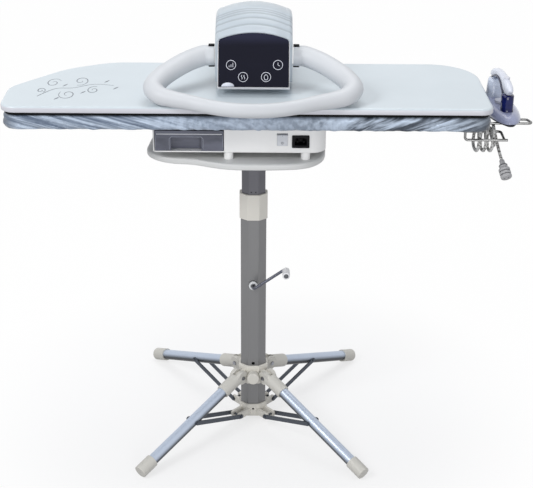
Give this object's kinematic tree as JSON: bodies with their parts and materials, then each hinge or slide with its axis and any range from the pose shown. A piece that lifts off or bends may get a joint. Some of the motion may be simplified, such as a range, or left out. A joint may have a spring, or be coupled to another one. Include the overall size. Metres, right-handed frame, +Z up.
{
  "type": "steam ironing press",
  "caption": "Steam ironing press with a long board, hinged upper plate, ring handle and side iron rest, on a folding crank stand.",
  "frame": {"origin": "the floor point under the column's axis", "axes": "+X to the user's right along the board, +Y away from the user, +Z up"},
  "size_m": [0.9969, 0.4974, 0.883],
  "materials": {
    "black_plastic": "satin",
    "bright_metal": "polished",
    "circuit_green": "satin",
    "column_grey": "satin",
    "cord_braid": "flecked braid",
    "cream_plastic": "satin",
    "dark_metal": "satin",
    "galvanised": "satin",
    "gear_steel": "machined",
    "grey_satin_cloth": "satin",
    "handle_white": "gloss",
    "hood_clear": "clear satin",
    "housing_plastic": "gloss",
    "inner_plastic": "matte",
    "iron_blue": "clear gloss",
    "iron_blue_hard": "gloss",
    "iron_lavender": "gloss",
    "mast_grey": "satin",
    "pad_felt": "felt",
    "painted_steel": "satin",
    "panel_black": "high gloss",
    "plate_alloy": "fine brushed",
    "platform_plastic": "satin",
    "shell_white": "gloss",
    "silver_paint": "satin metallic",
    "smoky_clear": "clear gloss",
    "switch_grey": "satin",
    "white_plastic": "gloss"
  },
  "bodies": {
    "column": {"column_tube": "column_grey", "column_collar": "cream_plastic", "strut_ring": "cream_plastic"},
    "hub": {"leg_hub": "cream_plastic", "hinge_screws": "bright_metal"},
    "lock": {"lock_knob": "cream_plastic"},
    "crank": {"crank_arm": "dark_metal", "pinion": "gear_steel"},
    "crank_grip": {"crank_knob": "white_plastic"},
    "mast": {"mast_tube": "mast_grey", "mast_rack": "gear_steel", "rack_clamp": "inner_plastic", "platform": "platform_plastic", "base_posts": "platform_plastic", "base_shell": "housing_plastic", "pump": "inner_plastic", "control_board": "circuit_green", "inlet_socket": "black_plastic", "board_pan": "galvanised", "board_pad": "pad_felt", "board_cover": "grey_satin_cloth", "hinge_bracket": "painted_steel", "hinge_pin": "bright_metal", "iron_rest": "bright_metal", "cord_rack": "bright_metal", "cord_hank": "cord_braid", "iron_cord": "cord_braid", "iron_plug": "switch_grey"},
    "tank": {"water_tank": "smoky_clear"},
    "switch": {"power_switch": "switch_grey"},
    "press": {"press_arm": "painted_steel", "lift_spring": "gear_steel", "arm_hood": "hood_clear", "press_shell": "shell_white", "heating_plate": "plate_alloy", "head_housing": "shell_white", "control_panel": "panel_black"},
    "handle": {"handle_ring": "handle_white"},
    "iron": {"iron_sole": "plate_alloy", "iron_body": "iron_lavender", "iron_tank": "iron_blue", "iron_handle": "white_plastic"},
    "steam_key": {"steam_button": "iron_blue_hard"},
    "iron_knob": {"iron_dial": "iron_lavender"},
    "leg_fr": {"leg_socket_fr": "cream_plastic", "leg_tube_fr": "silver_paint", "foot_cap_fr": "cream_plastic"},
    "brace_fr": {"strut_fr": "dark_metal"},
    "leg_fl": {"leg_socket_fl": "cream_plastic", "leg_tube_fl": "silver_paint", "foot_cap_fl": "cream_plastic"},
    "brace_fl": {"strut_fl": "dark_metal"},
    "leg_bl": {"leg_socket_bl": "cream_plastic", "leg_tube_bl": "silver_paint", "foot_cap_bl": "cream_plastic"},
    "brace_bl": {"strut_bl": "dark_metal"},
    "leg_br": {"leg_socket_br": "cream_plastic", "leg_tube_br": "silver_paint", "foot_cap_br": "cream_plastic"},
    "brace_br": {"strut_br": "dark_metal"}
  },
  "joints": [
    {"name": "hub_slide", "type": "slide", "parent": "column", "child": "hub", "axis": [0, 0, 1], "range_m": [0, 0.17]},
    {"name": "lock_pull", "type": "slide", "parent": "hub", "child": "lock", "axis": [0, -1, 0], "range_m": [0, 0.008], "stiffness_N_per_m": 400},
    {"name": "mast_slide", "type": "slide", "parent": "column", "child": "mast", "axis": [0, 0, 1], "range_m": [0, 0.15]},
    {"name": "crank_turn", "type": "hinge", "parent": "column", "child": "crank", "pos_m": [0, 0, 0.32], "axis": [0, 1, 0], "range_deg": [0, 1075]},
    {"name": "crank_grip_spin", "type": "hinge", "parent": "crank", "child": "crank_grip", "pos_m": [0.0656, -0.085, 0.367], "axis": [0, 1, 0], "continuous": true},
    {"name": "tank_pull", "type": "slide", "parent": "mast", "child": "tank", "axis": [0, -1, 0], "range_m": [0, 0.1]},
    {"name": "switch_rock", "type": "hinge", "parent": "mast", "child": "switch", "pos_m": [0.055, -0.084, 0.661], "axis": [-1, 0, 0], "range_deg": [0, 12]},
    {"name": "press_lift", "type": "hinge", "parent": "mast", "child": "press", "pos_m": [0, 0.17, 0.712], "axis": [-1, 0, 0], "range_deg": [0, 55]},
    {"name": "handle_lift", "type": "hinge", "parent": "press", "child": "handle", "pos_m": [0, 0, 0.797], "axis": [-1, 0, 0], "range_deg": [0, 20]},
    {"name": "iron_lift", "type": "slide", "parent": "mast", "child": "iron", "axis": [0, 0, 1], "range_m": [0, 0.12], "deforming": ["iron_cord"]},
    {"name": "steam_press", "type": "slide", "parent": "iron", "child": "steam_key", "axis": [0, 0, -1], "range_m": [0, 0.0025], "stiffness_N_per_m": 300},
    {"name": "dial_turn", "type": "hinge", "parent": "iron", "child": "iron_knob", "pos_m": [0.4763, 0, 0.709], "axis": [0, 0, 1], "range_deg": [0, 270]},
    {"name": "leg_fold_fr", "type": "hinge", "parent": "hub", "child": "leg_fr", "pos_m": [0.0299, -0.03228, 0.112], "axis": [0.7337, 0.6794, 0], "range_deg": [0, 48.8]},
    {"name": "brace_fold_fr", "type": "hinge", "parent": "column", "child": "brace_fr", "pos_m": [0.03397, -0.03669, 0.022], "axis": [-0.7337, -0.6794, 0], "range_deg": [0, 51.5]},
    {"name": "leg_fold_fl", "type": "hinge", "parent": "hub", "child": "leg_fl", "pos_m": [-0.0299, -0.03228, 0.112], "axis": [0.7337, -0.6794, 0], "range_deg": [0, 48.8]},
    {"name": "brace_fold_fl", "type": "hinge", "parent": "column", "child": "brace_fl", "pos_m": [-0.03397, -0.03669, 0.022], "axis": [-0.7337, 0.6794, 0], "range_deg": [0, 51.5]},
    {"name": "leg_fold_bl", "type": "hinge", "parent": "hub", "child": "leg_bl", "pos_m": [-0.0299, 0.03228, 0.112], "axis": [-0.7337, -0.6794, 0], "range_deg": [0, 48.8]},
    {"name": "brace_fold_bl", "type": "hinge", "parent": "column", "child": "brace_bl", "pos_m": [-0.03397, 0.03669, 0.022], "axis": [0.7337, 0.6794, 0], "range_deg": [0, 51.5]},
    {"name": "leg_fold_br", "type": "hinge", "parent": "hub", "child": "leg_br", "pos_m": [0.0299, 0.03228, 0.112], "axis": [-0.7337, 0.6794, 0], "range_deg": [0, 48.8]},
    {"name": "brace_fold_br", "type": "hinge", "parent": "column", "child": "brace_br", "pos_m": [0.03397, 0.03669, 0.022], "axis": [0.7337, -0.6794, 0], "range_deg": [0, 51.5]}
  ],
  "couplings": [
    {"joint": "crank_turn", "follows": "mast_slide", "rad_per_m": 125},
    {"joint": "leg_fold_fr", "follows": "hub_slide", "rad_per_m": 5.007},
    {"joint": "brace_fold_fr", "follows": "hub_slide", "rad_per_m": 5.2812},
    {"joint": "leg_fold_fl", "follows": "hub_slide", "rad_per_m": 5.007},
    {"joint": "brace_fold_fl", "follows": "hub_slide", "rad_per_m": 5.2812},
    {"joint": "leg_fold_bl", "follows": "hub_slide", "rad_per_m": 5.007},
    {"joint": "brace_fold_bl", "follows": "hub_slide", "rad_per_m": 5.2812},
    {"joint": "leg_fold_br", "follows": "hub_slide", "rad_per_m": 5.007},
    {"joint": "brace_fold_br", "follows": "hub_slide", "rad_per_m": 5.2812}
  ]
}
